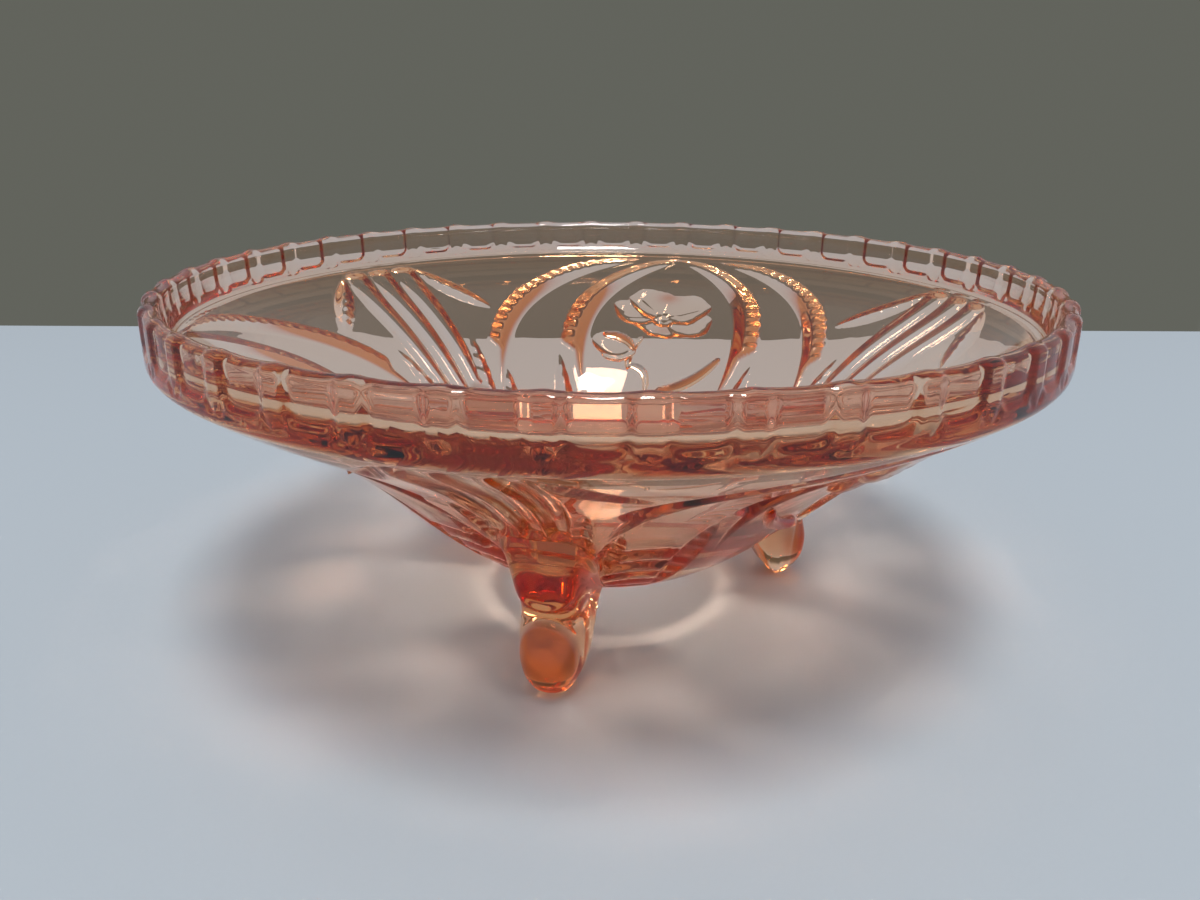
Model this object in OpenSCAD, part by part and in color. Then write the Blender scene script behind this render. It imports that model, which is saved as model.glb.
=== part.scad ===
// Three-footed pressed-glass dish.
// The origin is on the table at the middle of the dish, +Z is up, and the front foot is on -Y.
// Outside, three fans of straight blades stand over the feet, and between them are three flower panels.

/* [Bowl] */
// Outside diameter of the rim
rim_d = 220; // [210:1:230]
// Height of the rim's top edge above the table
total_h = 90; // [86:1:96]
// Height of the upright rim band
band_h = 13.5; // [12:0.5:15]
// Wall thickness at the middle of the slope, measured upright
wall_t = 6.2; // [5.5:0.1:8]
// Diameter of the thick base disc
base_d = 66; // [62:1:70]
// Height of the base's underside above the table
base_z = 17.7; // [15:0.1:20]

/* [Rim] */
// Number of tablets, and of pillars, round the rim band
tablet_n = 42; // [36:3:48]
// Width of each tablet
tablet_w = 10.6; // [9:0.1:11]
// How deep each tablet is sunk
tablet_depth = 0.9; // [0.5:0.1:1.4]
// Thickness of the band at its foot
ledge_w = 8.4; // [7:0.1:10]
// Thickness of the band under its rounded top edge
lip_w = 4.2; // [3.6:0.1:5]

/* [Cut pattern] */
// Width of a fan's blade
blade_w = 7; // [5:0.5:8]
// Depth of a fan's blade
blade_depth = 2; // [1:0.1:2.4]
// Lean of the two side blades of a fan, in degrees
blade_lean = 2.5; // [1:0.5:4]
// Width of the two curved blades round a flower panel
arc_w = 5; // [3:0.5:6]
// Depth of the curved blades
arc_depth = 1.4; // [0.8:0.1:2]
// Radius of the inner curved blade, from the panel's middle
arc_in_r = 31; // [28:1:34]
// Radius of the outer curved blade, from the panel's middle
arc_out_r = 54; // [50:1:58]
// Height of the flower sprigs above the wall
sprig_relief = 1.2; // [0.8:0.1:1.6]

/* [Feet] */
// Width of a foot where it leaves the bowl
foot_w = 20; // [18:1:24]
// Width of a foot's toe
toe_w = 14; // [12:1:16]
// Distance from the middle of the dish to the inner edge of a toe's flat
toe_in = 48; // [46:0.5:49]
// Distance from the middle of the dish to the outer edge of a toe's flat
toe_out = 54; // [53:0.5:56]
// Height of a toe's oval pad
pad_h = 21; // [19:0.5:22]

/* [Hidden] */
$fn = 96;
glass = "#d8907c";
rim_r = rim_d / 2;
base_r = base_d / 2;
band_z = total_h - band_h;
ledge_r = rim_r - ledge_w;
steps = 14; // straight runs in the wall's section
bulge = 0.07; // how far the wall's outside swells over the straight line from base to rim
sag = 0.04; // how far it hollows under the rim
base_extra = 3.3; // extra thickness where the wall meets the base
rim_extra = 8; // extra thickness where the wall meets the rim band
foot_at = [270, 30, 150];
panel_at = [90, 330, 210];
panel_r = 80; // distance of a flower panel's middle from the axis
knee_z = 31; // height of the widest part of a foot's shield
knee_h = 10.5; // height of the shield's rounded end

// Outside and inside of the bowl: height at radius r.
// The wall leaves the base steeply, then flares to the rim.
function along(r) = (r - base_r) / (rim_r - base_r);
function outside_z(r) = let (t = along(r))
    base_z + (band_z - base_z) * (t + bulge * sin(180 * t)^2 - sag * sin(360 * t) * (1 - t));
function inside_z(r) = let (t = along(r))
    outside_z(r) + wall_t + base_extra * (1 - t)^3 + rim_extra * t^6;
function between(a, b, i, n) = a + (b - a) * i / n;
function outside_run(r1, r2, n, drop = 0) =
    [for (i = [0:n]) let (r = between(r1, r2, i, n)) [r, outside_z(r) - drop]];
function inside_run(r1, r2, n) =
    [for (i = [0:n]) let (r = between(r1, r2, i, n)) [r, inside_z(r)]];
function slope_at(r) = atan2(outside_z(r + 1) - outside_z(r - 1), 2);
function ellipse(cx, cy, a, b, from, to, n) =
    [for (i = [0:n]) let (q = between(from, to, i, n)) [cx + a * cos(q), cy + b * sin(q)]];

// Puts children on the outside of the wall at radius r and angle at:
// X runs up the slope, Y runs round the bowl, and Z goes into the glass.
module on_wall(at, r) {
    rotate([0, 0, at])
        translate([r, 0, outside_z(r)])
            rotate([0, -slope_at(r), 0])
                children();
}

// A skin that follows the wall's outside, reaching up into the glass by deep and out of it by proud.
module wall_skin(r1, r2, deep, proud) {
    n = 8;
    rotate_extrude()
        polygon(concat(outside_run(r1, r2, n, proud), outside_run(r2, r1, n, -deep)));
}

// The section of the rim band: upright outside, a rounded top edge, and a hollow curve down to the ledge.
module rim_outline() {
    lip_r = lip_w / 2;
    lip_z = total_h - lip_r;
    cove_w = rim_r - lip_w - ledge_r;
    cove_h = lip_z - inside_z(ledge_r);
    polygon(concat(
        [[rim_r, band_z]],
        ellipse(rim_r - lip_r, lip_z, lip_r, lip_r, 0, 180, 10),
        ellipse(ledge_r, lip_z, cove_w, cove_h, -20, -90, 7)
    ));
}

// A flat-backed cutter with round lower corners, for one tablet.
module tablet_cutter() {
    sink = 4; // how far the cutter stands out of the band
    over_top = 2.5; // plain glass above the tablet
    tablet_h = band_h * 0.62;
    corner_r = 2;
    low = total_h - over_top - tablet_h;
    rotate([90, 0, 90])
        linear_extrude(sink)
            union() {
                for (side = [-1, 1])
                    translate([side * (tablet_w / 2 - corner_r), low + corner_r])
                        circle(r = corner_r, $fn = 32);
                translate([corner_r - tablet_w / 2, low])
                    square([tablet_w - 2 * corner_r, corner_r]);
                translate([-tablet_w / 2, low + corner_r])
                    square([tablet_w, tablet_h - corner_r]);
            }
}

module rim_band() {
    tablet_r = sqrt(rim_r^2 - (tablet_w / 2)^2) - tablet_depth;
    color(glass)
        difference() {
            rotate_extrude()
                rim_outline();
            for (i = [0:tablet_n - 1])
                rotate([0, 0, panel_at[0] + (i + 0.5) * 360 / tablet_n])
                    translate([tablet_r, 0, 0])
                        tablet_cutter();
        }
}

// One straight blade: a V cut that runs up the slope. Its cutter opens out below the wall's surface.
module blade(run) {
    half_w = blade_w * 0.75;
    rotate([90, 0, 90])
        linear_extrude(run)
            polygon([[-half_w, -blade_depth / 2], [half_w, -blade_depth / 2], [0, blade_depth]]);
}

// Three blades side by side, lying along the straight line from the fan's foot to its top.
module fan(at) {
    low_r = base_r * 2;
    high_r = rim_r - 4;
    spread = blade_w * 0.85;
    rise = outside_z(high_r) - outside_z(low_r);
    run = norm([high_r - low_r, rise]);
    rotate([0, 0, at])
        translate([low_r, 0, outside_z(low_r)])
            rotate([0, -atan2(rise, high_r - low_r), 0])
                for (side = [-1:1])
                    translate([0, side * spread, 0])
                        rotate([0, 0, side * blade_lean])
                            blade(run);
}

// The two curved blades round a flower panel, cut to an even depth.
module panel_arcs(at) {
    reach = 50; // long enough to pass through the wall wherever an arc crosses it
    low_r = 60;
    high_r = rim_r - 3;
    clear = 1; // how far the cutter stands out of the wall
    intersection() {
        wall_skin(low_r, high_r, arc_depth, clear);
        on_wall(at, panel_r - 3)
            for (arc_r = [arc_in_r, arc_out_r])
                difference() {
                    cylinder(r = arc_r + arc_w / 2, h = reach, center = true);
                    cylinder(r = arc_r - arc_w / 2, h = reach + 2, center = true);
                }
    }
}

module bowl_wall() {
    color(glass)
        difference() {
            rotate_extrude()
                polygon(concat(
                    outside_run(base_r, rim_r, steps),
                    inside_run(ledge_r, base_r, steps)
                ));
            for (at = foot_at)
                fan(at);
            for (at = panel_at)
                panel_arcs(at);
        }
}

// The thick disc in the middle: a slightly dished floor, and a shallow round hollow underneath.
module base_disc() {
    floor_r = base_r * 0.85;
    floor_z = inside_z(base_r) - 0.6;
    dish = 0.4;
    hollow_r = base_r * 0.6;
    hollow_d = 1;
    color(glass)
        difference() {
            rotate_extrude()
                polygon([
                    [0, base_z],
                    [base_r, base_z],
                    [base_r, inside_z(base_r)],
                    [floor_r, floor_z],
                    [0, floor_z - dish]
                ]);
            translate([0, 0, base_z - hollow_d])
                cylinder(r = hollow_r, h = 2 * hollow_d);
        }
}

// A foot seen from the side: a domed toe pad and a rounded knee outside, and a back that
// slants up from the toe to the base.
module foot_side() {
    pad_r = pad_h / 2;
    pad_proud = 5; // how far the pad stands out past the toe's flat
    knee_out = toe_out + 2;
    knee_w = 5;
    top_z = 52; // above the wall at every radius that the foot reaches
    polygon(concat(
        [[toe_in, 0]],
        ellipse(toe_out, pad_r, pad_proud, pad_r, -90, 70, 9),
        ellipse(knee_out, knee_z, knee_w, knee_h, -90, 0, 6),
        [[knee_out + knee_w, top_z], [base_r + 3, top_z], [base_r + 3, base_z]]
    ));
}

// A foot seen from the front: an oval toe under a wider shield.
module foot_front_view() {
    pad_r = pad_h / 2;
    shield_w = foot_w - 2;
    top_z = 52;
    union() {
        translate([-toe_w * 0.36, 0])
            square([toe_w * 0.72, pad_h]);
        intersection() {
            translate([0, pad_r])
                circle(r = pad_r);
            translate([-toe_w / 2, 0])
                square([toe_w, pad_h]);
        }
        polygon(concat(
            ellipse(0, knee_z, shield_w / 2, knee_h, 180, 360, 12),
            [[foot_w / 2, top_z], [-foot_w / 2, top_z]]
        ));
    }
}

module foot(at) {
    deep = 80; // longer and wider than the foot
    color(glass)
        rotate([0, 0, at])
            difference() {
                intersection() {
                    translate([0, deep / 2, 0])
                        rotate([90, 0, 0])
                            linear_extrude(deep)
                                foot_side();
                    rotate([90, 0, 90])
                        linear_extrude(deep)
                            foot_front_view();
                }
                bowl_space();
            }
}

// Everything that lies inside the bowl's outside surface.
module bowl_space() {
    rotate_extrude()
        polygon(concat(
            [[0, base_z], [base_r, base_z]],
            outside_run(base_r, rim_r, steps),
            [[0, band_z]]
        ));
}

// One flower: five round petals about a round middle.
module flower_outline() {
    petal_r = 7.8;
    petal_at = 8.6;
    petal_n = 5;
    middle_r = 6;
    for (i = [0:petal_n - 1])
        rotate((i + 0.5) * 360 / petal_n)
            translate([petal_at, 0])
                circle(r = petal_r);
    circle(r = middle_r);
}

// A crescent leaf: what two equal circles share.
module leaf_outline() {
    leaf_r = 10;
    apart = 7;
    intersection() {
        translate([-14, 6])
            circle(r = leaf_r);
        translate([-16, 6 - 2 * apart])
            circle(r = leaf_r);
    }
}

// The sprig: an open flower, with a round bud on one side, a stem below it and a leaf.
module sprig_outline() {
    bud_r = 5;
    stem = [14, 1.8];
    stem_turn = 38;
    translate([2, 1])
        flower_outline();
    translate([-7, -15])
        circle(r = bud_r);
    translate([-19, -8])
        rotate(stem_turn)
            square(stem);
    leaf_outline();
}

module sprig(at) {
    reach = 30; // long enough to pass through the skin all over the panel
    low_r = 56;
    high_r = 100;
    color(glass)
        intersection() {
            wall_skin(low_r, high_r, 0, sprig_relief);
            on_wall(at, panel_r)
                translate([0, 0, -reach / 2])
                    linear_extrude(reach)
                        sprig_outline();
        }
}

rim_band();
bowl_wall();
base_disc();
foot(foot_at[0]);  // foot_front
foot(foot_at[1]);  // foot_right
foot(foot_at[2]);  // foot_left
sprig(panel_at[0]);  // sprig_back
sprig(panel_at[1]);  // sprig_right
sprig(panel_at[2]);  // sprig_left
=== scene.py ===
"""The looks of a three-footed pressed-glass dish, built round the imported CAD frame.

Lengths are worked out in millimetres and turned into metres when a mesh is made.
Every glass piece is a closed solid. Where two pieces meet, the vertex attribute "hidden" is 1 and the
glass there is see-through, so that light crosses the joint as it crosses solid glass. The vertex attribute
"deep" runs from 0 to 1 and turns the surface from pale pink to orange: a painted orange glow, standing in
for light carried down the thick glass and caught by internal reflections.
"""

import math

import bpy
import numpy as np
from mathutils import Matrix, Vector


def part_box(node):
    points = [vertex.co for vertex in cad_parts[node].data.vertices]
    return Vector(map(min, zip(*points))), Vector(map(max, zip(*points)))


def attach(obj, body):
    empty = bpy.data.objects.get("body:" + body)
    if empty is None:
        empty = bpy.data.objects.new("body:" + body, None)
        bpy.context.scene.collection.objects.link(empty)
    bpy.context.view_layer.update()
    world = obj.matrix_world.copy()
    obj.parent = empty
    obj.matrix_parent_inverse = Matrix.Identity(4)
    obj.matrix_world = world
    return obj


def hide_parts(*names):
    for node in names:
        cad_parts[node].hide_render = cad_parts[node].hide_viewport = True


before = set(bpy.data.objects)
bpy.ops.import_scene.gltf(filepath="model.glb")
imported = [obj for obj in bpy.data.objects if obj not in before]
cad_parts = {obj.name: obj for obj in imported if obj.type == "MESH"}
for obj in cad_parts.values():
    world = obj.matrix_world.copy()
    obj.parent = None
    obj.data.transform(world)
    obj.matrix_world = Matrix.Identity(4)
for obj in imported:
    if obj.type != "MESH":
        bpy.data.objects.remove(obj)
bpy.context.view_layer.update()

MM = 0.001


def node_box(name):
    """The lowest and highest corner of a CAD node, in millimetres."""
    low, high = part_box(name)
    return np.array(low) / MM, np.array(high) / MM


# ---------------------------------------------------------------- sizes, from the frame
rim_low, rim_high = node_box("rim_band")
base_low, base_high = node_box("base_disc")

RIM_R = rim_high[1]
TOP_Z = rim_high[2]
BAND_Z = rim_low[2]
BASE_R = base_high[0]
BASE_Z = base_low[2]
LEDGE_W = 8.4
LEDGE_R = RIM_R - LEDGE_W
LIP_W = 4.2
SEAM_R = RIM_R - 1.4  # where the wall's outside meets the rim band
GAP = 0.01  # how far a joint's hidden rows stand from the shown ones
WALL_T = 6.2
BULGE, SAG = 0.07, 0.04
BASE_EXTRA, RIM_EXTRA = 3.3, 11.0  # how much thicker the wall is at the base and at the rim

TABLETS = 42
PITCH = 2 * np.pi * RIM_R / TABLETS
STEPS = 24  # mesh columns for each tablet
AROUND = TABLETS * STEPS
TABLET_HALF, TABLET_LOW, TABLET_CORNER, TABLET_DEPTH = 5.9, 79.9, 3.2, 0.95
PILLAR_POINT_Z = 77.3  # where the two creases under a pillar meet
FACE_R = RIM_R - 0.05  # the rim band's outer face
PANELS = (90.0, 330.0, 210.0)
FEET = {"foot_front": 270.0, "foot_right": 30.0, "foot_left": 150.0}
SPRIGS = {"sprig_back": 90.0, "sprig_right": 330.0, "sprig_left": 210.0}


# ---------------------------------------------------------------- small maths
def step(x, low, high):
    """0 below low and 1 above high, smoothly between. low may be the larger."""
    t = np.clip((x - low) / (high - low), 0, 1)
    return t * t * (3 - 2 * t)


def soft_min(a, b, soft):
    return 0.5 * (a + b - np.sqrt((a - b) ** 2 + soft * soft))


def soft_floor(x, soft):
    """x where it is positive and 0 elsewhere, rounded over about soft."""
    return 0.5 * (x + np.sqrt(x * x + soft * soft))


def bump(x, width):
    return np.exp(-((x / width) ** 2))


# ---------------------------------------------------------------- the bowl's section
def outside_z(r):
    t = (r - BASE_R) / (RIM_R - BASE_R)
    rise = t + BULGE * np.sin(np.pi * t) ** 2 - SAG * np.sin(2 * np.pi * t) * (1 - t)
    return BASE_Z + (BAND_Z - BASE_Z) * rise


def inside_z(r):
    t = (r - BASE_R) / (RIM_R - BASE_R)
    return outside_z(r) + WALL_T + BASE_EXTRA * (1 - t) ** 3 + RIM_EXTRA * t**12


def slope(height, r):
    return height(r + 0.5) - height(r - 0.5)


# ---------------------------------------------------------------- the cut pattern
# Plan coordinates of a panel or a fan: x runs round the bowl from its middle line, y runs outwards.
ARC_IN = ((-2.9, 72.0), 36.3, (-12.9, 71.0), 37.4)
ARC_OUT = ((11.3, 63.0), 43.6, (-0.5, 59.0), 48.5)
# A panel's two curved blades: the arcs, and the heights where each ends, where its tail ends, and where
# its beads stop.
INNER_BLADE = (ARC_IN, 67.0, 50.0, 88.0)
OUTER_BLADE = (ARC_OUT, 55.0, 36.0, 130.0)
BEAD_PITCH = 4.0
BEAD_DEPTH = 0.7
FACET = 0.62  # how steeply a blade's two facets fall
FLUTE_DEPTH = 1.5
# Straight blades: each one's two ends in plan, and its width.
LOW_INNER = ((32.5, 63.0), (17.5, 31.0), 6.4)
LOW_OUTER = ((46.6, 49.5), (33.0, 27.0), 6.0)
FAN_SIDE = ((13.2, 106.5), (29.2, 82.5), 6.4)
FAN_ROPE = ((14.5, 77.0), (6.4, 53.0), 4.6)
FAN_WIDE, FAN_TOP, FAN_LONG = 13.9, 107, 77  # a fan's half width at its top, where that is, and its length
RING_PITCH, RING_DEPTH = 5.4, 1.5


def from_circle(x, y, centre):
    return np.hypot(x - centre[0], y - centre[1])


def blade(to_edge_1, to_edge_2, steep=FACET):
    """A V cut between two edges, given the distances to them, positive inside."""
    return soft_floor(soft_min(to_edge_1, to_edge_2, 0.35) * steep, 0.10)


def beads(along, across, width):
    """The rope of beads on a serrated facet. along is the way along it, and across is the way over it."""
    wave = 0.5 + 0.5 * np.cos(2 * np.pi * along / BEAD_PITCH)
    over = np.clip(across / width, 0, 1)
    return wave**1.5 * np.sin(np.pi * over)


def curved_blade(x, y, arc, end_y, tail_y, bead_from):
    """A crescent between two arcs: its outer facet is beaded and ends bluntly at end_y, its tail runs on."""
    centre_1, r_1, centre_2, r_2 = arc
    far_1 = from_circle(x, y, centre_1)
    to_outer = r_1 - far_1
    to_inner = from_circle(x, y, centre_2) - r_2
    width = to_outer + to_inner
    blunt = step(y, end_y, end_y - 1.5) * 0.52 * width
    thin = np.clip((end_y - y) / (end_y - tail_y), 0, 1) * 0.5 * width
    to_outer = to_outer - blunt - thin
    cut = blade(to_outer, to_inner)
    angle = np.arctan2(y - centre_1[1], x - centre_1[0])
    serrated = step(y, end_y - 1, end_y + 1) * step(y, bead_from + 4, bead_from - 4)
    half = np.maximum(width * 0.5, 0.5)
    rope = beads(angle * r_1, to_outer, half) * serrated * np.clip(half / 3, 0, 1)
    return cut + BEAD_DEPTH * rope


def lens_blade(x, y, start, end, width, serration=0.0, steep=FACET):
    """A leaf-shaped V cut between two points. It is serrated on one facet, or on both if serration < 0."""
    a, b = np.array(start), np.array(end)
    run = np.hypot(*(b - a))
    ux, uy = (b - a) / run
    along = (x - a[0]) * ux + (y - a[1]) * uy
    over = (x - a[0]) * uy - (y - a[1]) * ux
    half = width / 2
    radius = (run * run / 4 + half * half) / (2 * half)
    back = radius - half
    to_1 = radius - np.hypot(along - run / 2, over + back)
    to_2 = radius - np.hypot(along - run / 2, over - back)
    cut = blade(to_1, to_2, steep)
    if serration:
        ramp = np.sin(np.pi * np.clip(along / run, 0, 1))
        inside = np.clip(np.minimum(to_1, to_2) * 2, 0, 1)
        slant = along + 0.6 * np.abs(over)
        one_side = np.where(over > 0, 1.0, 0.0) if serration > 0 else 1.0
        wave = 0.5 + 0.5 * np.cos(2 * np.pi * slant / BEAD_PITCH)
        cut = cut + abs(serration) * wave * inside * ramp * one_side
    return cut


def fan_half_width(y):
    return FAN_WIDE * (1 - np.clip((FAN_TOP - y) / FAN_LONG, 0, 1) ** 1.7)


def panel_cuts(x, y):
    """What is cut in a flower panel, on the half where x is positive."""
    inner = curved_blade(x, y, *INNER_BLADE)
    outer = curved_blade(x, y, *OUTER_BLADE)
    low_inner = lens_blade(x, y, *LOW_INNER, 0.5)
    low_outer = lens_blade(x, y, *LOW_OUTER, -0.5)
    return np.maximum.reduce([inner, outer, low_inner, low_outer])


def ridges(a, r):
    """The stepped rings low in the window between the two curved blades."""
    top = 60.5 - 2.5 * ((a - 37) / 9) ** 2
    down = np.clip(top - r, 0, None) / RING_PITCH
    saw = down - np.floor(down)
    tread = RING_DEPTH * (1 - step(saw, 0.0, 0.82)) * step(saw, 0.0, 0.10)
    window = step(a, 29.0, 31.0) * step(a, 51.0, 48.0)
    return tread * window * step(r, BASE_R + 1, BASE_R + 4) * step(top - r, 0.0, 0.3)


def fan_cuts(x, y):
    """Three long shallow flutes side by side, and on each side two short V cuts with serrated facets."""
    half = fan_half_width(y)
    third = np.maximum(half / 3, 0.05)
    nearest = np.round(np.clip(x / (2 * third), -1, 1))
    off = x - nearest * 2 * third
    inside = step(y, 109.0, 107.0)
    hollow = 1 - np.clip(np.abs(off) / third, 0, 1) ** 2
    long_cut = FLUTE_DEPTH * hollow * (np.abs(x) < half) * inside * step(half, 0, 4)
    ax = np.abs(x)
    side = lens_blade(ax, y, *FAN_SIDE, 0.35, 0.6)
    rope = lens_blade(ax, y, *FAN_ROPE, -0.55, 0.5)
    return np.maximum.reduce([long_cut, side, rope])


def wall_painted_glow(theta, r):
    """Where an orange glow is painted on, for light caught by internal reflections in the cut glass: low in
    the curved blades and on the stepped rings.
    """
    deep = np.zeros(np.broadcast(theta, r).shape)
    for middle in PANELS:
        a = np.abs((theta - middle + 180) % 360 - 180)
        rad = np.radians(a)
        x, y = r * np.sin(rad), r * np.cos(rad)
        inner = curved_blade(x, y, *INNER_BLADE) * step(y, 98, 74)
        outer = curved_blade(x, y, *OUTER_BLADE) * step(y, 95, 64)
        rings = 0.25 * (ridges(a, r) > 0) + ridges(a, r) * 0.26
        part = np.clip(np.maximum.reduce([inner, outer, rings]) / 0.5, 0, 1)
        deep = np.where(a <= 60, np.maximum(deep, part), deep)
    return deep


def wall_cut(theta, r):
    """How deep the wall's outside is cut, at an angle in degrees and a radius."""
    cut = np.zeros(np.broadcast(theta, r).shape)
    for middle in PANELS:
        a = np.abs((theta - middle + 180) % 360 - 180)
        near = a <= 60
        rad = np.radians(a)
        x, y = r * np.sin(rad), r * np.cos(rad)
        part = np.maximum(panel_cuts(x, y), ridges(a, r))
        cut = np.where(near, np.maximum(cut, part), cut)
    for middle in FEET.values():
        b = (theta - middle + 180) % 360 - 180
        near = np.abs(b) <= 60
        rad = np.radians(b)
        x, y = r * np.sin(rad), r * np.cos(rad)
        cut = np.where(near, np.maximum(cut, fan_cuts(x, y)), cut)
        rho, lam = r * np.cos(rad), r * np.sin(rad)
        clear = step(foot_inside(rho, lam, outside_z(r)), 1.0, 1.12)
        cut = np.where(near, cut * clear, cut)
    at_rim = step(r, SEAM_R - 0.3, SEAM_R - 3.5)
    at_base = step(r, BASE_R + 0.3, BASE_R + 2.0)
    return cut * at_rim * at_base


# ---------------------------------------------------------------- the feet's section
# (height, value) points: the face and the back of a foot, from the dish's axis, and half its width.
FOOT_OUT = ((0, 53.0), (1.0, 54.4), (4, 55.6), (10, 56.2), (17, 56.0), (21, 56.6), (26, 58.2), (31, 59.3),
            (36, 60.2), (52, 60.6))
FOOT_IN = ((0, 50.8), (1.0, 49.4), (3, 47.6), (6, 46.0), (10, 43.8), (14, 41.2), (17, 38.2), (19.5, 35.6),
           (24, 34.6), (52, 34.2))
FOOT_HALF = ((0, 2.6), (0.6, 3.5), (2, 4.7), (4, 6.0), (6, 6.9), (9, 7.7), (13, 8.1), (18, 8.0), (22, 7.7),
             (25, 8.0), (29, 8.6), (34, 9.5), (52, 10.2))
FILLET = 1.2
FOOT_FRONT_POWER, FOOT_BACK_POWER = 3.4, 6.0
PAD_Z, PAD_HIGH, PAD_WIDE, PAD_PROUD = 10.6, 9.9, 7.5, 3.6
SHIELD_Z, SHIELD_TIP, SHIELD_WIDE, SHIELD_PROUD = 29.5, 6.4, 8.4, 1.5
FOOT_TOP = 52  # above the wall's outside wherever a foot reaches, so that the wall ends it


def curve_at(points, z):
    """A smooth curve through listed (height, value) points."""
    p = np.array(points, float)
    slopes = np.gradient(p[:, 1], p[:, 0])
    i = np.clip(np.searchsorted(p[:, 0], z) - 1, 0, len(p) - 2)
    h = p[i + 1, 0] - p[i, 0]
    t = np.clip((z - p[i, 0]) / h, 0, 1)
    return (
        (2 * t**3 - 3 * t**2 + 1) * p[i, 1]
        + (t**3 - 2 * t**2 + t) * h * slopes[i]
        + (3 * t**2 - 2 * t**3) * p[i + 1, 1]
        + (t**3 - t**2) * h * slopes[i + 1]
    )


def on_pad(lam, z):
    """1 in the middle of the toe's oval pad, 0 at its edge and negative outside it."""
    return 1 - (lam / PAD_WIDE) ** 2 - ((z - PAD_Z) / PAD_HIGH) ** 2


def foot_relief(lam, z):
    """How far the toe's oval pad and the shield over it stand out from a foot's face."""
    pad = on_pad(lam, z)
    pad = PAD_PROUD * np.clip(pad, 0, 1) ** 0.5 - 0.35 * bump(pad, 0.10)
    round_end = np.clip((SHIELD_Z - z) / SHIELD_TIP, 0, 2)
    shield = 1 - np.hypot(lam / (SHIELD_WIDE * (1 + 0.02 * (z - SHIELD_Z))), round_end)
    shield = SHIELD_PROUD * step(shield, 0.0, 0.16) - 0.5 * bump(lam, 4.5) * step(shield, 0.1, 0.6)
    return pad + shield


def foot_inside(rho, lam, z):
    """Under 1 inside a foot's section at height z, with its fillet at the bowl."""
    out, inn = curve_at(FOOT_OUT, z), curve_at(FOOT_IN, z)
    half = curve_at(FOOT_HALF, z)
    deep = (out - inn) / 2 + FILLET
    x = (rho - (out + inn) / 2) / (deep + foot_relief(lam, z) * (rho > (out + inn) / 2))
    y = lam / (half + FILLET)
    power = np.where(x > 0, FOOT_FRONT_POWER, FOOT_BACK_POWER)
    return (np.abs(x) ** power + np.abs(y) ** power) ** (1 / power)


# ---------------------------------------------------------------- meshes
def enclosed(points, faces):
    """The volume inside a closed set of faces, negative where they face inwards."""
    total = 0.0
    for group in faces:
        first = points[group[:, 0]]
        for k in range(1, group.shape[1] - 1):
            total += (first * np.cross(points[group[:, k]], points[group[:, k + 1]])).sum() / 6
    return total


def mesh_object(name, points, faces, hidden, deep=None):
    """A smooth-shaded mesh from points in millimetres, with the "hidden" and "deep" attributes."""
    mesh = bpy.data.meshes.new(name)
    points = np.asarray(points, np.float64).reshape(-1, 3) * MM
    groups = [np.asarray(f, np.int32) for f in (faces if isinstance(faces, list) else [faces])]
    if enclosed(points, groups) < 0:
        groups = [g[:, ::-1] for g in groups]
    loops = np.concatenate([g.reshape(-1) for g in groups])
    totals = np.concatenate([np.full(len(g), g.shape[1], np.int32) for g in groups])
    mesh.vertices.add(len(points))
    mesh.vertices.foreach_set("co", points.astype(np.float32).reshape(-1))
    mesh.loops.add(len(loops))
    mesh.loops.foreach_set("vertex_index", loops)
    mesh.polygons.add(len(totals))
    starts = np.concatenate([[0], np.cumsum(totals)[:-1]]).astype(np.int32)
    mesh.polygons.foreach_set("loop_start", starts)
    mesh.polygons.foreach_set("loop_total", totals)
    mesh.update(calc_edges=True)
    mesh.validate()
    mesh.shade_smooth()
    deep = np.zeros(len(points)) if deep is None else deep
    for label, values in (("hidden", hidden), ("deep", deep)):
        attribute = mesh.attributes.new(label, "FLOAT", "POINT")
        attribute.data.foreach_set("value", np.asarray(values, np.float32).reshape(-1))
    obj = bpy.data.objects.new(name, mesh)
    bpy.context.scene.collection.objects.link(obj)
    return obj


def grid_faces(rows, cols, wrap_rows, wrap_cols, start=0):
    """Quads over a grid of points numbered row by row."""
    i = np.arange(rows if wrap_rows else rows - 1)
    j = np.arange(cols if wrap_cols else cols - 1)
    i, j = np.meshgrid(i, j, indexing="ij")
    i2, j2 = (i + 1) % rows, (j + 1) % cols
    quads = np.stack([i * cols + j, i * cols + j2, i2 * cols + j2, i2 * cols + j], -1)
    return quads.reshape(-1, 4) + start


def turned(r, z, theta):
    rad = np.radians(theta)
    return np.stack([r * np.cos(rad), r * np.sin(rad), z + 0 * r], -1)


def ring_rows(profile, theta):
    """Points and hidden values of plain rows from (r, z, hidden) triples."""
    rows = []
    for r, z, hide in profile:
        points = turned(np.full_like(theta, r), np.full_like(theta, z), theta)
        rows.append((points, np.full_like(theta, hide)))
    return rows


def stack(rows):
    return np.array([p for p, _ in rows]), np.array([h for _, h in rows])


THETA = np.arange(AROUND) * 360.0 / AROUND + 90.0


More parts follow.
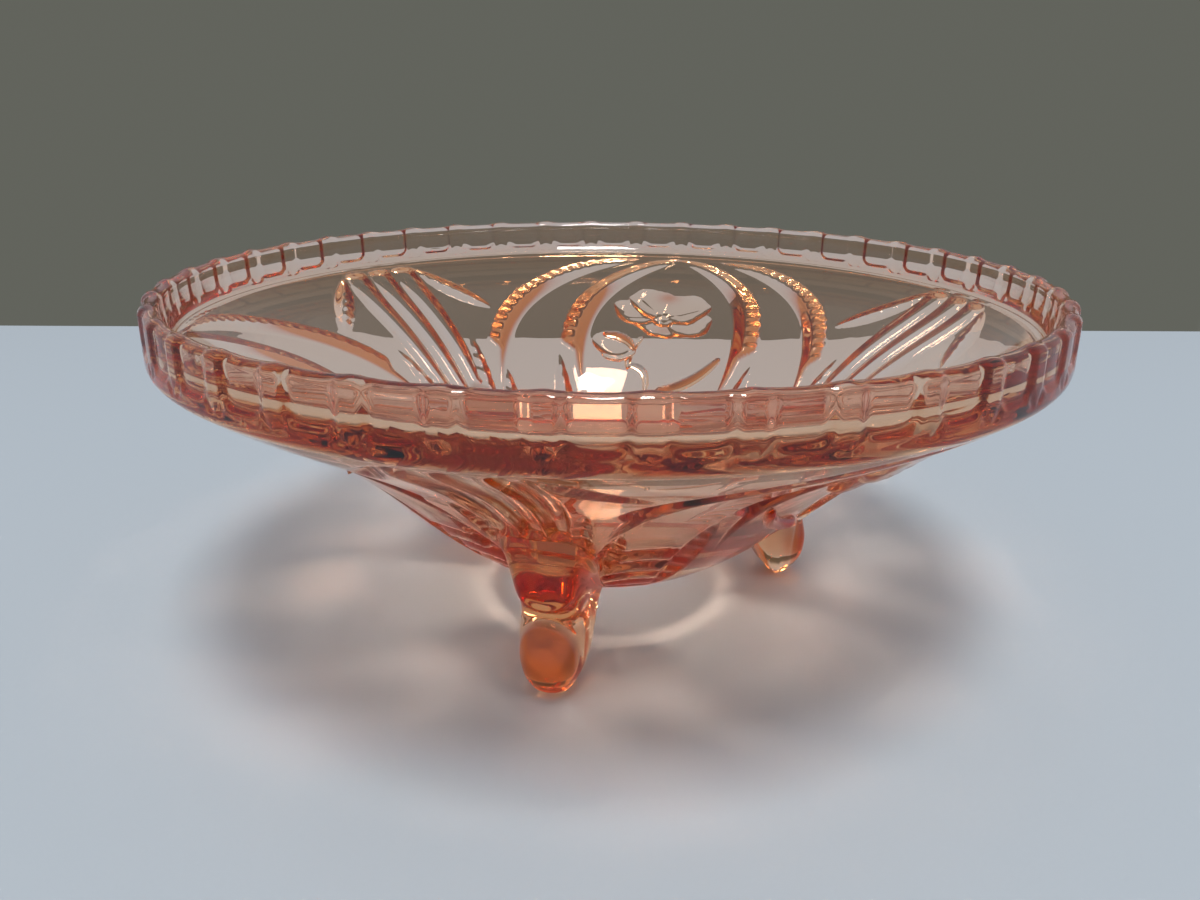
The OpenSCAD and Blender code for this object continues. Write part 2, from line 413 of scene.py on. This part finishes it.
def wall_piece():
    """The flared wall: cut outside, smooth inside, with joints at the rim and at the base."""
    r = np.concatenate([[BASE_R + GAP], np.linspace(BASE_R + 0.8, SEAM_R - 0.6, 132), [SEAM_R - GAP]])
    grid_r, grid_t = np.meshgrid(r, THETA, indexing="ij")
    cut = wall_cut(grid_t, grid_r)
    lean = slope(outside_z, grid_r)
    length = np.sqrt(1 + lean * lean)
    out_r = grid_r - cut * lean / length
    out_z = outside_z(grid_r) + cut / length
    outer = turned(out_r, out_z, grid_t)
    hide = np.zeros_like(grid_r)
    for middle in FEET.values():
        b = np.radians((grid_t - middle + 180) % 360 - 180)
        inside = foot_inside(grid_r * np.cos(b), grid_r * np.sin(b), outside_z(grid_r))
        inside = np.where(np.abs(b) < 1, inside, 9)
        hide = np.maximum(hide, np.clip(0.5 + (1 - inside) * 4, 0, 1))
    for middle in SPRIGS.values():
        hide = np.maximum(hide, np.clip(0.5 + sprig_at(grid_t - middle, grid_r) * 1.5, 0, 1))
    rows = [(outer[i], hide[i]) for i in range(len(r))]
    # Painted orange glow on the wall, for light caught by internal reflections.
    deep = wall_painted_glow(grid_t, grid_r)
    inner_r = np.linspace(LEDGE_R - GAP, BASE_R + GAP, 44)
    profile = [(SEAM_R, outside_z(SEAM_R), 1), (LEDGE_R, inside_z(LEDGE_R), 1)]
    profile += [(q, inside_z(q), 0) for q in inner_r]
    profile += [(BASE_R, inside_z(BASE_R), 1), (BASE_R, BASE_Z, 1)]
    points, hidden = stack(rows + ring_rows(profile, THETA))
    faces = grid_faces(len(points), AROUND, True, True)
    deep = np.concatenate([deep, np.zeros((len(points) - len(deep), AROUND))])
    return mesh_object("bowl_wall_glass", points, faces, hidden, deep)


def band_cut(around, z):
    """How deep the rim band's face is sunk. around is the way round from a tablet's middle."""
    ax = np.abs(around)
    half, low, corner = TABLET_HALF, TABLET_LOW, TABLET_CORNER
    dx = np.maximum(ax - (half - corner), 0)
    dz = np.maximum((low + corner) - z, 0)
    edge = corner - np.hypot(dx, dz)
    tablet = TABLET_DEPTH * step(edge, -0.5, 1.7)
    dome = 0.30 * (1 - np.clip(ax / half, 0, 1) ** 2) * step(edge, 0.0, 2.2)
    up = np.clip((z - PILLAR_POINT_Z) / (low - PILLAR_POINT_Z), 0, 1)
    side = PITCH / 2 - (PITCH / 2 - half) * up**0.8
    shown = step(z, PILLAR_POINT_Z - 0.6, PILLAR_POINT_Z + 0.8) * step(z, low + 3, low)
    crease = 0.3 * bump(ax - side, 0.8) * shown
    return tablet - dome + crease


def band_piece():
    """The rim band: sunk tablets and pillars outside, a rounded top edge with a knob over each pillar."""
    around = ((np.arange(AROUND) % STEPS) / STEPS - 0.5) * PITCH
    knob = bump(np.abs(around) - PITCH / 2, 3.0)
    lip = LIP_W / 2
    lip_z = TOP_Z - lip
    rows = []
    corner_start = np.array([SEAM_R + GAP, outside_z(SEAM_R + GAP)])
    corner_mid = np.array([FACE_R, outside_z(FACE_R)])
    corner_end = np.array([FACE_R, BAND_Z + 1.5])
    rows += ring_rows([(SEAM_R, outside_z(SEAM_R) + GAP, 1)], THETA)
    for t in np.linspace(0, 1, 6):
        p = (1 - t) ** 2 * corner_start + 2 * t * (1 - t) * corner_mid + t * t * corner_end
        rows += ring_rows([(p[0], p[1], 0)], THETA)
    for z in np.linspace(BAND_Z + 1.9, lip_z, 26):
        cut = band_cut(around, np.full_like(around, z)) * step(z, BAND_Z + 1.5, BAND_Z + 2.2)
        rows.append((turned(FACE_R - cut, np.full_like(around, z), THETA), 0 * around))
    top_cut = band_cut(around, np.full_like(around, lip_z))
    for q in np.radians(np.linspace(0, 180, 15)[1:-1]):
        drop = (1 - knob) * 0.5 * math.sin(q)
        fade = 0.5 + 0.5 * math.cos(q)
        r = FACE_R - lip + lip * math.cos(q) - top_cut * fade
        z = lip_z + lip * math.sin(q) - drop
        rows.append((turned(r, z, THETA), 0 * around))
    cove_w = RIM_R - LIP_W - LEDGE_R
    cove_h = lip_z - inside_z(LEDGE_R) - GAP
    for q in np.radians(np.linspace(0, -90, 15)):
        rows += ring_rows([(LEDGE_R + cove_w * math.cos(q), lip_z + cove_h * math.sin(q), 0)], THETA)
    rows += ring_rows([(LEDGE_R - GAP, inside_z(LEDGE_R) + GAP, 1)], THETA)
    points, hidden = stack(rows)
    faces = grid_faces(len(points), AROUND, True, True)
    return mesh_object("rim_band_glass", points, faces, hidden)


def base_piece():
    """The thick floor disc, with a low ring moulded in its underside."""
    cols = AROUND // 3
    theta = np.arange(cols) * 360.0 / cols + 90
    rows = []
    under_r = np.concatenate([[0.4], np.linspace(1.5, BASE_R - 0.6, 44), [BASE_R - GAP]])
    for r in under_r:
        sunk = 1.1 * step(r, 28.5, 26.0) - 0.5 * step(r, 26.0, 0.0)
        rows.append((turned(np.full_like(theta, r), BASE_Z + sunk + 0 * theta, theta), 0 * theta))
    rows += ring_rows([(BASE_R, BASE_Z, 1), (BASE_R, inside_z(BASE_R), 1)], theta)
    floor_slope = slope(inside_z, BASE_R)
    dip = floor_slope * BASE_R / 3.2
    for t in np.linspace(1, 0.012, 26):
        z = inside_z(BASE_R) - dip * (1 - t**3.2)
        rows += ring_rows([((BASE_R - GAP) * t, z, 0)], theta)
    points, hidden = stack(rows)
    flat = points.reshape(-1, 3)
    ends = [[0, 0, flat[:cols, 2].mean()], [0, 0, flat[-cols:, 2].mean()]]
    flat = np.concatenate([flat, ends])
    hidden = np.concatenate([hidden.reshape(-1), [0, 0]])
    j = np.arange(cols)
    low, high = len(flat) - 2, len(flat) - 1
    last = (len(points) - 1) * cols
    bottom = np.stack([np.full(cols, low), (j + 1) % cols, j], -1)
    top = np.stack([np.full(cols, high), last + j, last + (j + 1) % cols], -1)
    faces = [grid_faces(len(points), cols, False, True), bottom, top]
    return mesh_object("base_disc_glass", flat, faces, hidden)


def foot_piece(name, at):
    """A scroll foot: an oval toe pad, a ledge, and a shield that flares into the bowl."""
    cols = 144
    phi = np.arange(cols) * 2 * np.pi / cols
    heights = np.concatenate([[0.0], [0.25, 0.6], np.linspace(1.2, FOOT_TOP, 150)])
    rows, hides, painted_glows = [], [], []

    def section(z, shrink):
        out, inn = curve_at(FOOT_OUT, z), curve_at(FOOT_IN, z)
        half = curve_at(FOOT_HALF, z)
        deep, middle = (out - inn) / 2, (out + inn) / 2
        c, s = np.cos(phi), np.sin(phi)
        power = np.where(c > 0, FOOT_FRONT_POWER, FOOT_BACK_POWER)
        size = (np.abs(c) ** power + np.abs(s) ** power) ** (-1 / power)
        x, y = size * c, size * s
        lam = half * y
        room = outside_z(np.hypot(middle + deep * x, lam)) - z
        flare = FILLET * np.exp(-np.clip(room, 0, 99) / 1.6)
        lam = (half + flare) * y
        proud = foot_relief(lam, z) * (x > 0)
        return middle + (deep + flare + proud) * x * shrink, lam * shrink

    def add(z, shrink):
        rho, lam = section(np.float64(z), shrink)
        bowl = outside_z(np.hypot(rho, lam))
        rows.append(np.stack([rho, lam, np.minimum(z, bowl + 0.12)], -1))
        hides.append(np.clip(0.5 + (z - bowl) / 1.2, 0, 1))
        # A painted orange glow on the toe's pad, standing in for light carried down the foot and caught by
        # internal reflections.
        painted_glows.append(step(on_pad(lam, z), -0.05, 0.25) * (np.cos(phi) > 0))

    for shrink in (0.02, 0.35, 0.7, 0.9):
        add(0.0, shrink)
    for z in heights:
        add(z, 1.0)
    for shrink in (0.9, 0.7, 0.45, 0.2, 0.02):
        add(FOOT_TOP, shrink)
    points = np.array(rows)
    rad = math.radians(at)
    c, s = math.cos(rad), math.sin(rad)
    x, y, z = points[..., 0], points[..., 1], points[..., 2]
    points = np.stack([x * c - y * s, x * s + y * c, z], -1)
    count = len(points)
    faces = [
        grid_faces(count, cols, False, True),
        np.arange(cols)[::-1].reshape(1, -1),
        (np.arange(cols) + (count - 1) * cols).reshape(1, -1),
    ]
    return mesh_object(f"{name}_glass", points, faces, np.array(hides), np.array(painted_glows))


# ---------------------------------------------------------------- the sprig
SPRIG_R = 81.0
SPRIG_DEEP = 0.3  # how far a sprig's back lies inside the wall's face

# A sprig's petals: the way each points in degrees, how far out its middle is, its half length and half width,
# and how far it is raised. The last one is the round middle.
PETALS = (
    (-8, 9.6, 8.6, 7.6, 0.0),
    (-172, 9.2, 8.6, 7.8, 0.0),
    (-90, 5.4, 6.2, 9.4, 0.0),
    (50, 8.4, 9.6, 8.8, 0.0),
    (128, 8.4, 9.8, 9.0, 0.0),
    (0, 0.0, 4.8, 5.2, 1.1),
)
FLOWER_AT, FLOWER_FLAT, FLOWER_TURN = (0.6, 2.2), 0.74, 12.0
TILT = 0.16  # how steeply each petal thins upwards


def ribbon(u, v, start, bend, end, width):
    """A strip along a bent line, thinning to its ends: 1 along its middle and 0 at its edges."""
    t = np.linspace(0, 1, 25)[:, None]
    line = (1 - t) ** 2 * np.array(start) + 2 * t * (1 - t) * np.array(bend) + t * t * np.array(end)
    best = np.full(u.shape, -9.0)
    for k in range(len(line) - 1):
        (pu, pv), (qu, qv) = line[k], line[k + 1]
        run2 = (qu - pu) ** 2 + (qv - pv) ** 2
        part = np.clip(((u - pu) * (qu - pu) + (v - pv) * (qv - pv)) / run2, 0, 1)
        off = np.hypot(u - pu - part * (qu - pu), v - pv - part * (qv - pv))
        at = (k + part) / (len(line) - 1)
        half = width / 2 * (0.25 + 0.75 * np.sqrt(np.clip(4 * at * (1 - at), 0, 1)))
        best = np.maximum(best, 1 - off / half)
    return best


def domed(inside, height, spread):
    """A rounded relief from a form that is 1 at its middle and 0 at its edge; negative outside."""
    return np.where(inside > 0, np.sqrt(np.clip(inside, 0, 1)) * height, inside * spread)


def flower_height(u, v):
    """An open flower: five broad petals, each thinning upwards and lapping over the one below."""
    turn = math.radians(FLOWER_TURN)
    du, dv = u - FLOWER_AT[0], v - FLOWER_AT[1]
    fu = du * math.cos(turn) + dv * math.sin(turn)
    fv = (dv * math.cos(turn) - du * math.sin(turn)) / FLOWER_FLAT
    best = np.full(u.shape, -9.0)
    for way, far, long, wide, lift in PETALS:
        c, s = math.cos(math.radians(way)), math.sin(math.radians(way))
        along, over = fu * c + fv * s, -fu * s + fv * c
        angle = np.arctan2(over, along)
        ruffle = 1 + 0.045 * np.cos(angle * 11 + way)
        inside = 1 - np.hypot((along - far) / long, over / wide) / ruffle
        top = FLOWER_FLAT * (far * s + math.hypot(long * s, wide * c))
        sheet = 0.3 + lift + TILT * (top - FLOWER_FLAT * fv) + 0.06 * np.cos(angle * 7) * step(along, 2, 6)
        veins = 0.018 * np.cos(angle * 30) * step(along, 3, 8)
        edge = np.sin(np.pi / 2 * np.clip(inside / 0.42, 0, 1)) ** 0.8
        best = np.maximum(best, np.where(inside > 0, (sheet + veins) * edge, inside * 9))
    far = np.hypot(fu, fv)
    stamens = 0.16 * bump(far - 3.4, 1.0) * (0.5 + 0.5 * np.cos(np.arctan2(fv, fu) * 9))
    return best + (stamens + 0.25 * bump(far, 1.6)) * step(best, 0, 0.3)


BUD = (15.6, -11.6, 7.4, 4.6)  # its middle, half length and half height
LEAF = ((-1.6, -24.2), (-14.0, -23.6), (-21.0, -15.6), 3.6)
STEM = ((6.2, -7.0), (10.6, -12.0), (9.3, -18.6), 2.6)
HOOK = ((9.6, -17.4), (1.6, -16.4), (2.2, -25.6), 2.2)
SEPALS = (((8.0, -11.6), (12.5, -6.4), (19.5, -8.4), 2.8), ((8.0, -12.4), (12.0, -17.0), (18.5, -16.0), 2.4))


def sprig_height(u, v):
    """The relief of the flower, bud, stem and leaf, in millimetres over the wall; negative outside."""
    inside = 1 - np.hypot((u - BUD[0]) / BUD[2], (v - BUD[1]) / BUD[3])
    wedge = 0.3 + TILT * (BUD[1] + BUD[3] - v)
    bud = np.where(inside > 0, wedge * np.sin(np.pi / 2 * np.clip(inside / 0.5, 0, 1)), inside * 6)
    parts = [
        flower_height(u, v),
        bud,
        domed(ribbon(u, v, *SEPALS[0]), 1.9, 1.4),
        domed(ribbon(u, v, *SEPALS[1]), 1.6, 1.2),
        domed(ribbon(u, v, *STEM), 1.1, 1.3),
        domed(ribbon(u, v, *HOOK), 1.0, 1.1),
        domed(ribbon(u, v, *LEAF), 1.7, 1.8),
    ]
    return np.maximum.reduce(parts)


def sprig_painted_glow(u, v):
    """Where a sprig gets a painted orange glow, for glints and light caught by internal reflections: its
    leaf, the sepal over its bud, and two notches between petals.
    """
    leaf = step(ribbon(u, v, *LEAF), 0.0, 0.2)
    sepal = step(ribbon(u, v, *SEPALS[0]), 0.0, 0.2)
    notch = 0.8 * bump(np.hypot((u - 0.5) / 1.6, v - 11.5), 2.4)
    low_lip = 0.5 * bump(np.hypot((u + 0.5) / 3.2, v + 3.2), 1.3)
    return np.clip(np.maximum.reduce([leaf, sepal, notch, low_lip]), 0, 1)


def sprig_plane(a, r):
    """The flat coordinates of a point of the wall in a sprig's panel: round it, and up the slope."""
    rad = np.radians((a + 180) % 360 - 180)
    up = (r * np.cos(rad) - SPRIG_R) * 1.18
    return r * np.sin(rad), up


def sprig_at(a, r):
    u, v = sprig_plane(a, r)
    near = (np.abs(u) < 27) & (np.abs(v) < 30)
    height = np.full(u.shape, -1.0)
    height[near] = sprig_height(u[near], v[near])
    return np.maximum(height, -1.0)


def sprig_piece(name, at):
    """The raised sprig: its face stands over the wall, and its back lies just inside it."""
    a = np.arange(-21.0, 21.0, 0.24)
    r = np.arange(55.0, 97.5, 0.42)
    grid_a, grid_r = np.meshgrid(a, r, indexing="ij")
    height = sprig_at(grid_a, grid_r)
    kept = height > -0.9
    cells = kept[:-1, :-1] & kept[1:, :-1] & kept[1:, 1:] & kept[:-1, 1:]
    used = np.zeros_like(kept)
    for di in (0, 1):
        for dj in (0, 1):
            used[di : used.shape[0] - 1 + di, dj : used.shape[1] - 1 + dj] |= cells
    index = np.full(kept.shape, -1)
    index[used] = np.arange(used.sum())
    count = int(used.sum())
    lean = slope(outside_z, grid_r)
    length = np.sqrt(1 + lean * lean)

    def raised(by):
        return turned(grid_r + by * lean / length, outside_z(grid_r) - by / length, grid_a + at)

    face = raised(np.maximum(height, -SPRIG_DEEP * 0.9))[used]
    back = raised(np.full(height.shape, -SPRIG_DEEP))[used]
    i, j = np.nonzero(cells)
    quad = np.stack([index[i, j], index[i, j + 1], index[i + 1, j + 1], index[i + 1, j]], -1)
    edges = {}
    for q in quad:
        for k in range(4):
            edges[(q[k], q[(k + 1) % 4])] = True
    border = [(p, q) for (p, q) in edges if (q, p) not in edges]
    sides = np.array([[p, q, q + count, p + count] for p, q in border])[:, ::-1]
    faces = [quad, quad[:, ::-1] + count, sides]
    hidden = np.concatenate([np.clip(0.5 - height[used] * 1.5, 0, 1), np.ones(count)])
    # Painted orange glow on the sprig's face only.
    deep = np.concatenate([sprig_painted_glow(*sprig_plane(grid_a, grid_r))[used], np.zeros(count)])
    return mesh_object(f"{name}_glass", np.concatenate([face, back]), faces, hidden, deep)


# ---------------------------------------------------------------- materials
# The first tint is the glass's own pale pink; the second is a painted orange glow, for light carried inside
# thick glass and caught by internal reflections.
PALE_TINT, PAINTED_GLOW_TINT = (1.0, 0.84, 0.79, 1), (0.80, 0.13, 0.02, 1)
BODY_TINT, BODY_DENSITY = (0.91, 0.53, 0.05, 1), 60
GLASS_IOR = 1.52


def glass_material():
    """Clear salmon-pink pressed glass: pale where thin and orange-red where thick through its own absorption,
    with an orange glow painted on through the deep attribute, and faint ripples.
    """
    mat = bpy.data.materials.new("pink_glass")
    mat.use_nodes = True
    nt = mat.node_tree
    shader = nt.nodes["Principled BSDF"]
    # The deep attribute mixes in the painted orange glow.
    deep = nt.nodes.new("ShaderNodeAttribute")
    deep.attribute_name = "deep"
    surface = nt.nodes.new("ShaderNodeMix")
    surface.data_type = "RGBA"
    surface.inputs[6].default_value = PALE_TINT
    surface.inputs[7].default_value = PAINTED_GLOW_TINT
    nt.links.new(deep.outputs["Fac"], surface.inputs["Factor"])
    nt.links.new(surface.outputs[2], shader.inputs["Base Color"])
    shader.inputs["Transmission Weight"].default_value = 1
    shader.inputs["IOR"].default_value = GLASS_IOR
    hidden = nt.nodes.new("ShaderNodeAttribute")
    hidden.attribute_name = "hidden"
    shown = nt.nodes.new("ShaderNodeMath")
    shown.operation = "LESS_THAN"
    shown.inputs[1].default_value = 0.5
    nt.links.new(hidden.outputs["Fac"], shown.inputs[0])
    nt.links.new(shown.outputs[0], shader.inputs["Alpha"])
    place = nt.nodes.new("ShaderNodeTexCoord")
    ripple = nt.nodes.new("ShaderNodeTexNoise")
    ripple.inputs["Scale"].default_value = 55
    ripple.inputs["Detail"].default_value = 1.5
    relief = nt.nodes.new("ShaderNodeBump")
    relief.inputs["Strength"].default_value = 0.2
    relief.inputs["Distance"].default_value = 0.0004
    nt.links.new(place.outputs["Object"], ripple.inputs["Vector"])
    nt.links.new(ripple.outputs["Fac"], relief.inputs["Height"])
    nt.links.new(relief.outputs["Normal"], shader.inputs["Normal"])
    smear = nt.nodes.new("ShaderNodeTexNoise")
    smear.inputs["Scale"].default_value = 30
    smear.inputs["Detail"].default_value = 3
    polish = nt.nodes.new("ShaderNodeMapRange")
    polish.inputs["From Min"].default_value = 0.45
    polish.inputs["From Max"].default_value = 0.8
    polish.inputs["To Min"].default_value = 0.0
    polish.inputs["To Max"].default_value = 0.035
    nt.links.new(place.outputs["Object"], smear.inputs["Vector"])
    nt.links.new(smear.outputs["Fac"], polish.inputs["Value"])
    nt.links.new(polish.outputs["Result"], shader.inputs["Roughness"])
    tint = nt.nodes.new("ShaderNodeVolumeAbsorption")
    tint.inputs["Color"].default_value = BODY_TINT
    tint.inputs["Density"].default_value = BODY_DENSITY
    nt.links.new(tint.outputs["Volume"], nt.nodes["Material Output"].inputs["Volume"])
    return mat


def floor_material():
    mat = bpy.data.materials.new("pale_floor")
    mat.use_nodes = True
    nt = mat.node_tree
    shader = nt.nodes["Principled BSDF"]
    shader.inputs["Roughness"].default_value = 0.55
    shader.inputs["Base Color"].default_value = (0.350, 0.390, 0.425, 1)
    return mat


# ---------------------------------------------------------------- the object
GLASS = glass_material()
pieces = {
    "bowl_wall": wall_piece(),
    "rim_band": band_piece(),
    "base_disc": base_piece(),
}
for node_name, angle in FEET.items():
    pieces[node_name] = foot_piece(node_name, angle)
for node_name, angle in SPRIGS.items():
    pieces[node_name] = sprig_piece(node_name, angle)
for node_name, piece in pieces.items():
    piece.data.materials.append(GLASS)
    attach(piece, "root")
    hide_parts(node_name)


# ---------------------------------------------------------------- floor, light and camera
VIEW_TURN = math.radians(14.3)  # how far the camera stands round from the front foot


def seen_from_camera(x, y):
    """A point given to the right of and beyond the dish, as the camera sees it."""
    c, s = math.cos(VIEW_TURN), math.sin(VIEW_TURN)
    return x * c - y * s, x * s + y * c


# The screen's side edges, as the cosine of the way round from behind the dish.
SCREEN_EDGE = (0.835, 0.855)
SCREEN_TOP = (0.095, 0.24)  # the screen's soft top edge, as the sine of the height
SCREEN_COLOUR = (0.166, 0.171, 0.146, 1)
WORLD_LIGHT = 0.74
# The camera's distance, offset and height over the rim, in rim radii; its pitch and roll in radians.
CAMERA_AWAY, CAMERA_ACROSS, CAMERA_OVER_RIM = 2.311, -0.022, 0.386
CAMERA_PITCH, CAMERA_ROLL = 0.342, -0.005


def floor_piece():
    corners = [(-0.9, -1.0), (0.9, -1.0), (0.9, 0.335), (-0.9, 0.335)]
    mesh = bpy.data.meshes.new("floor")
    mesh.from_pydata([(*seen_from_camera(x, y), 0) for x, y in corners], [], [(0, 1, 2, 3)])
    obj = bpy.data.objects.new("floor", mesh)
    obj.data.materials.append(floor_material())
    bpy.context.scene.collection.objects.link(obj)
    return obj


def area_light(name, at, aim, size, power):
    data = bpy.data.lights.new(name, "AREA")
    data.shape = "RECTANGLE"
    data.size, data.size_y = size
    data.energy = power
    obj = bpy.data.objects.new(name, data)
    from_point = np.array([*seen_from_camera(at[0], at[1]), at[2]])
    to_point = np.array([*seen_from_camera(aim[0], aim[1]), aim[2]])
    obj.location = from_point
    obj.rotation_mode = "QUATERNION"
    look = Vector(to_point - from_point)
    obj.rotation_quaternion = look.to_track_quat("-Z", "Y")
    bpy.context.scene.collection.objects.link(obj)
    return obj


def studio_world():
    """Soft light all round, with a low dark screen behind the dish for it to show against."""
    world = bpy.data.worlds.new("studio")
    bpy.context.scene.world = world
    world.use_nodes = True
    nt = world.node_tree
    back = nt.nodes["Background"]
    place = nt.nodes.new("ShaderNodeTexCoord")
    split = nt.nodes.new("ShaderNodeSeparateXYZ")
    height = nt.nodes.new("ShaderNodeValToRGB")
    level = nt.nodes.new("ShaderNodeVectorMath")
    level.operation = "MULTIPLY"
    level.inputs[1].default_value = (1, 1, 0)
    compass = nt.nodes.new("ShaderNodeVectorMath")
    compass.operation = "NORMALIZE"
    behind = nt.nodes.new("ShaderNodeVectorMath")
    behind.operation = "DOT_PRODUCT"
    behind.inputs[1].default_value = (*seen_from_camera(0, 1), 0)
    across = nt.nodes.new("ShaderNodeMapRange")
    across.interpolation_type = "SMOOTHSTEP"
    across.inputs["From Min"].default_value = SCREEN_EDGE[0]
    across.inputs["From Max"].default_value = SCREEN_EDGE[1]
    low = nt.nodes.new("ShaderNodeMapRange")
    low.interpolation_type = "SMOOTHSTEP"
    low.inputs["From Min"].default_value = SCREEN_TOP[1]
    low.inputs["From Max"].default_value = SCREEN_TOP[0]
    low.inputs["To Min"].default_value = 0
    low.inputs["To Max"].default_value = 1
    both = nt.nodes.new("ShaderNodeMath")
    both.operation = "MULTIPLY"
    mix = nt.nodes.new("ShaderNodeMix")
    mix.data_type = "RGBA"
    nt.links.new(place.outputs["Generated"], split.inputs[0])
    nt.links.new(place.outputs["Generated"], level.inputs[0])
    nt.links.new(level.outputs["Vector"], compass.inputs[0])
    nt.links.new(compass.outputs["Vector"], behind.inputs[0])
    nt.links.new(behind.outputs["Value"], across.inputs["Value"])
    nt.links.new(split.outputs["Z"], low.inputs["Value"])
    nt.links.new(across.outputs["Result"], both.inputs[0])
    nt.links.new(low.outputs["Result"], both.inputs[1])
    nt.links.new(split.outputs["Z"], height.inputs["Fac"])
    nt.links.new(both.outputs[0], mix.inputs["Factor"])
    nt.links.new(height.outputs["Color"], mix.inputs[6])
    mix.inputs[7].default_value = SCREEN_COLOUR
    nt.links.new(mix.outputs[2], back.inputs["Color"])
    stops = height.color_ramp.elements
    stops[0].position, stops[0].color = 0.0, (0.72, 0.75, 0.78, 1)
    stops[1].position, stops[1].color = 0.8, (0.70, 0.75, 0.82, 1)
    back.inputs["Strength"].default_value = WORLD_LIGHT


def camera():
    """Near, a little above the rim, looking down. Several lenses suit this view; 30 mm is the one chosen."""
    data = bpy.data.cameras.new("camera")
    data.sensor_width = 36
    data.lens = 30
    obj = bpy.data.objects.new("camera", data)
    away, across = CAMERA_AWAY * RIM_R * MM, CAMERA_ACROSS * RIM_R * MM
    up = (TOP_Z + CAMERA_OVER_RIM * RIM_R) * MM
    obj.location = (*seen_from_camera(across, -away), up)
    obj.rotation_euler = (math.pi / 2 - CAMERA_PITCH, CAMERA_ROLL, VIEW_TURN)
    bpy.context.scene.collection.objects.link(obj)
    bpy.context.scene.camera = obj


floor_piece()
studio_world()
area_light("overhead", (0.15, -1.02, 2.82), (0, 0, 0.05), (0.78, 1.0), 74)
camera()

scene = bpy.context.scene
scene.view_settings.view_transform = "Standard"
scene.cycles.use_denoising = True
scene.cycles.max_bounces = 24
scene.cycles.transmission_bounces = 24
scene.cycles.glossy_bounces = 12
scene.cycles.transparent_max_bounces = 64
scene.cycles.sample_clamp_indirect = 0
scene.cycles.blur_glossy = 0.2
